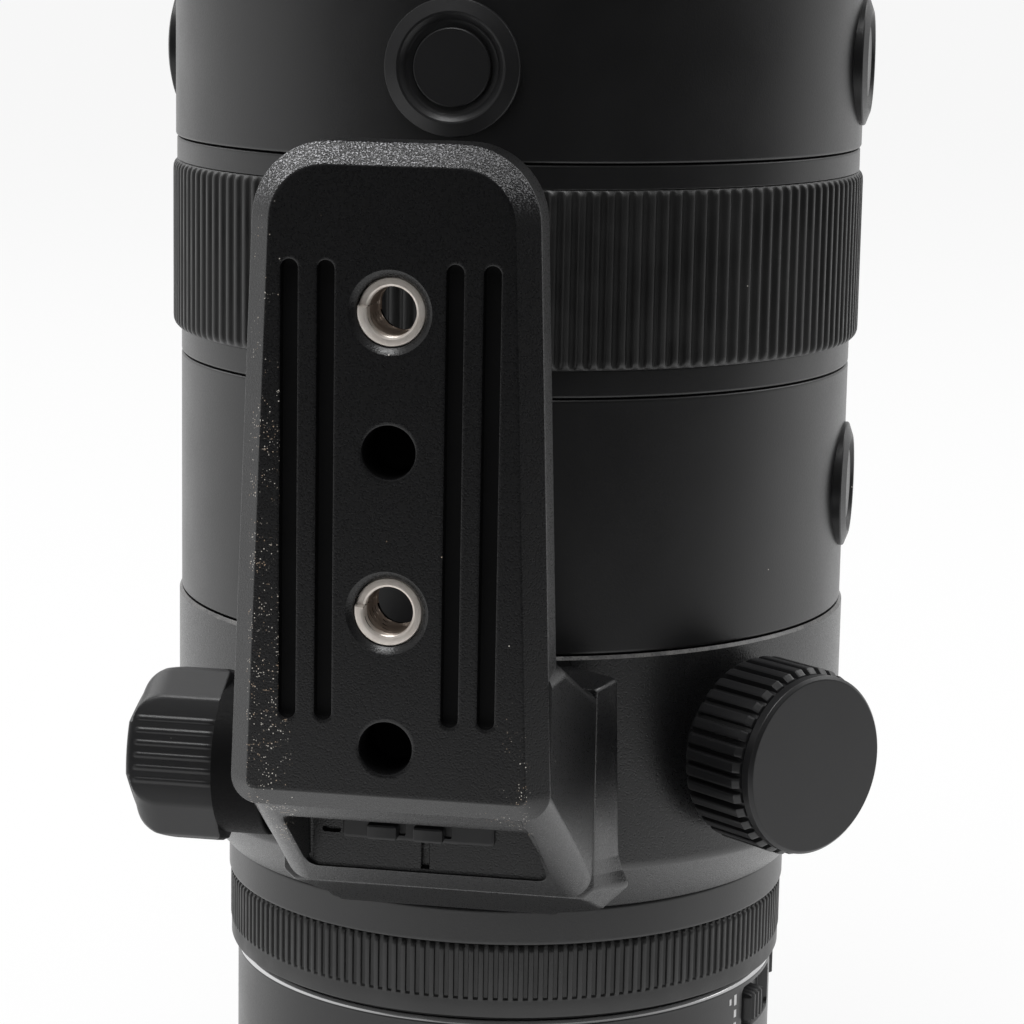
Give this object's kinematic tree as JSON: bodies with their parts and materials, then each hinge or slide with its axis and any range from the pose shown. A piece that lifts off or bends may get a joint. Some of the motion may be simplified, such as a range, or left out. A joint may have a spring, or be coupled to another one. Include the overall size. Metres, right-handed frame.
{
  "type": "camera zoom lens",
  "caption": "Black telephoto zoom lens with ribbed focus, zoom and control rings, function buttons, a bayonet mount and a rotating tripod collar with a slide-off foot.",
  "frame": {"origin": "centre of the bayonet flange's rear face, on the optical axis", "axes": "+Z along the optical axis towards the front glass, -Y out of the tripod foot's face, +X to the collar lock knob's side"},
  "size_m": [0.0947, 0.1195, 0.2259],
  "materials": {
    "mount_chrome": "turned and plated",
    "steel": "bright stainless",
    "magnet": "nickel-plated magnet",
    "seal_rubber": "soft seal",
    "inner_plastic": "flocked matte",
    "contact_gold": "gold-plated",
    "barrel_paint": "fine satin black",
    "black_plastic": "satin black",
    "grip_rubber": "ribbed",
    "crinkle_paint": "fine-grained black, worn at the edges",
    "inner_metal": "black anodised",
    "window_plastic": "polished",
    "lens_glass": "coated",
    "coil_copper": "enamelled wire"
  },
  "bodies": {
    "barrel": {"mount_ring": "mount_chrome", "mount_screws": "steel", "mount_gasket": "seal_rubber", "rear_baffle": "inner_plastic", "contact_block": "inner_plastic", "contact_pins": "contact_gold", "rear_barrel": "barrel_paint", "collar_retainer": "barrel_paint", "main_tube": "inner_metal", "middle_barrel": "barrel_paint", "display_window": "window_plastic", "button_bezels": "black_plastic", "button_barrel": "barrel_paint", "front_barrel": "barrel_paint", "filter_ring": "inner_metal", "front_cell": "inner_metal", "front_glass": "lens_glass", "iris_housing": "inner_metal", "focus_magnets": "magnet", "guide_bars": "steel", "rear_cell": "inner_metal", "rear_glass": "lens_glass"},
    "control": {"control_ring": "black_plastic"},
    "limit_slider": {"limit_switch": "black_plastic"},
    "mode_slider": {"mode_switch": "black_plastic"},
    "collar": {"collar_ring": "crinkle_paint"},
    "collar_lock": {"collar_lock_knob": "black_plastic", "collar_lock_cap": "black_plastic", "collar_lock_screw": "steel"},
    "foot": {"tripod_foot": "crinkle_paint", "foot_inserts": "steel"},
    "foot_clamp": {"foot_clamp_knob": "black_plastic", "foot_clamp_screw": "steel"},
    "latch": {"foot_latch": "black_plastic"},
    "function_key": {"function_button": "black_plastic"},
    "focus_turn": {"focus_ring": "barrel_paint", "focus_grip": "grip_rubber"},
    "zoom_turn": {"zoom_ring": "barrel_paint", "zoom_grip": "grip_rubber", "zoom_key": "steel", "cam_tube": "inner_metal"},
    "variator": {"variator_cell": "inner_metal", "variator_glass": "lens_glass"},
    "compensator": {"compensator_cell": "inner_metal", "compensator_glass": "lens_glass"},
    "focus_group": {"focus_cell": "inner_metal", "focus_glass": "lens_glass", "focus_coils": "coil_copper"},
    "iris_drive": {"iris_ring": "inner_metal"},
    "front_key_1": {"front_button_1": "black_plastic"},
    "front_key_2": {"front_button_2": "black_plastic"},
    "front_key_3": {"front_button_3": "black_plastic"},
    "front_key_4": {"front_button_4": "black_plastic"},
    "blade_1": {"iris_blade_1": "inner_metal"},
    "blade_2": {"iris_blade_2": "inner_metal"},
    "blade_3": {"iris_blade_3": "inner_metal"},
    "blade_4": {"iris_blade_4": "inner_metal"},
    "blade_5": {"iris_blade_5": "inner_metal"},
    "blade_6": {"iris_blade_6": "inner_metal"},
    "blade_7": {"iris_blade_7": "inner_metal"}
  },
  "joints": [
    {"name": "zoom", "type": "hinge", "parent": "barrel", "child": "zoom_turn", "pos_m": [0, 0, 0.181], "axis": [0, 0, 1], "range_deg": [0, 70]},
    {"name": "variator_slide", "type": "slide", "parent": "barrel", "child": "variator", "axis": [0, 0, -1], "range_m": [0, 0.022]},
    {"name": "compensator_slide", "type": "slide", "parent": "barrel", "child": "compensator", "axis": [0, 0, 1], "range_m": [0, 0.014]},
    {"name": "focus_ring_turn", "type": "hinge", "parent": "barrel", "child": "focus_turn", "pos_m": [0, 0, 0.116], "axis": [0, 0, 1], "continuous": true},
    {"name": "focus_slide", "type": "slide", "parent": "barrel", "child": "focus_group", "axis": [0, 0, 1], "range_m": [0, 0.022]},
    {"name": "control_ring_turn", "type": "hinge", "parent": "barrel", "child": "control", "pos_m": [0, 0, 0.0305], "axis": [0, 0, 1], "continuous": true},
    {"name": "limit_switch_slide", "type": "hinge", "parent": "barrel", "child": "limit_slider", "pos_m": [0, 0, 0.0158], "axis": [0, 0, 1], "range_deg": [0, 9]},
    {"name": "mode_switch_slide", "type": "hinge", "parent": "barrel", "child": "mode_slider", "pos_m": [0, 0, 0.0158], "axis": [0, 0, 1], "range_deg": [0, 9]},
    {"name": "collar_turn", "type": "hinge", "parent": "barrel", "child": "collar", "pos_m": [0, 0, 0.0583], "axis": [0, 0, 1], "continuous": true},
    {"name": "collar_lock_turn", "type": "hinge", "parent": "collar", "child": "collar_lock", "pos_m": [0.0383, -0.03214, 0.0595], "axis": [0.766, -0.6428, 0], "range_deg": [0, 180]},
    {"name": "foot_slide", "type": "slide", "parent": "collar", "child": "foot", "axis": [0, 0, -1], "range_m": [0, 0.026]},
    {"name": "foot_clamp_turn", "type": "hinge", "parent": "foot", "child": "foot_clamp", "pos_m": [-0.03, -0.0535, 0.0608], "axis": [-1, 0, 0], "range_deg": [0, 180]},
    {"name": "latch_slide", "type": "slide", "parent": "foot", "child": "latch", "axis": [1, 0, 0], "range_m": [0, 0.003], "stiffness_N_per_m": 300},
    {"name": "function_press", "type": "slide", "parent": "barrel", "child": "function_key", "axis": [-1, 0, 0], "range_m": [0, 0.0004], "stiffness_N_per_m": 1500},
    {"name": "front_press_1", "type": "slide", "parent": "barrel", "child": "front_key_1", "axis": [0, 1, 0], "range_m": [0, 0.0004], "stiffness_N_per_m": 1500},
    {"name": "front_press_2", "type": "slide", "parent": "barrel", "child": "front_key_2", "axis": [-1, 0, 0], "range_m": [0, 0.0004], "stiffness_N_per_m": 1500},
    {"name": "front_press_3", "type": "slide", "parent": "barrel", "child": "front_key_3", "axis": [0, -1, 0], "range_m": [0, 0.0004], "stiffness_N_per_m": 1500},
    {"name": "front_press_4", "type": "slide", "parent": "barrel", "child": "front_key_4", "axis": [1, 0, 0], "range_m": [0, 0.0004], "stiffness_N_per_m": 1500},
    {"name": "iris_turn", "type": "hinge", "parent": "barrel", "child": "iris_drive", "pos_m": [0, 0, 0.098], "axis": [0, 0, 1], "range_deg": [0, 3.36]},
    {"name": "blade_turn_1", "type": "hinge", "parent": "barrel", "child": "blade_1", "pos_m": [0.0278, 0, 0.096], "axis": [0, 0, 1], "range_deg": [0, 32.1]},
    {"name": "blade_turn_2", "type": "hinge", "parent": "barrel", "child": "blade_2", "pos_m": [0.01733, 0.02174, 0.096], "axis": [0, 0, 1], "range_deg": [0, 32.1]},
    {"name": "blade_turn_3", "type": "hinge", "parent": "barrel", "child": "blade_3", "pos_m": [-0.00619, 0.0271, 0.096], "axis": [0, 0, 1], "range_deg": [0, 32.1]},
    {"name": "blade_turn_4", "type": "hinge", "parent": "barrel", "child": "blade_4", "pos_m": [-0.02505, 0.01206, 0.096], "axis": [0, 0, 1], "range_deg": [0, 32.1]},
    {"name": "blade_turn_5", "type": "hinge", "parent": "barrel", "child": "blade_5", "pos_m": [-0.02505, -0.01206, 0.096], "axis": [0, 0, 1], "range_deg": [0, 32.1]},
    {"name": "blade_turn_6", "type": "hinge", "parent": "barrel", "child": "blade_6", "pos_m": [-0.00619, -0.0271, 0.096], "axis": [0, 0, 1], "range_deg": [0, 32.1]},
    {"name": "blade_turn_7", "type": "hinge", "parent": "barrel", "child": "blade_7", "pos_m": [0.01733, -0.02174, 0.096], "axis": [0, 0, 1], "range_deg": [0, 32.1]}
  ],
  "couplings": [
    {"joint": "variator_slide", "follows": "zoom", "m_per_rad": 0.018005},
    {"joint": "compensator_slide", "follows": "zoom", "m_per_rad": 0.011458},
    {"joint": "blade_turn_1", "follows": "iris_turn", "ratio": 9.5266},
    {"joint": "blade_turn_2", "follows": "iris_turn", "ratio": 9.5266},
    {"joint": "blade_turn_3", "follows": "iris_turn", "ratio": 9.5266},
    {"joint": "blade_turn_4", "follows": "iris_turn", "ratio": 9.5266},
    {"joint": "blade_turn_5", "follows": "iris_turn", "ratio": 9.5266},
    {"joint": "blade_turn_6", "follows": "iris_turn", "ratio": 9.5266},
    {"joint": "blade_turn_7", "follows": "iris_turn", "ratio": 9.5266}
  ]
}
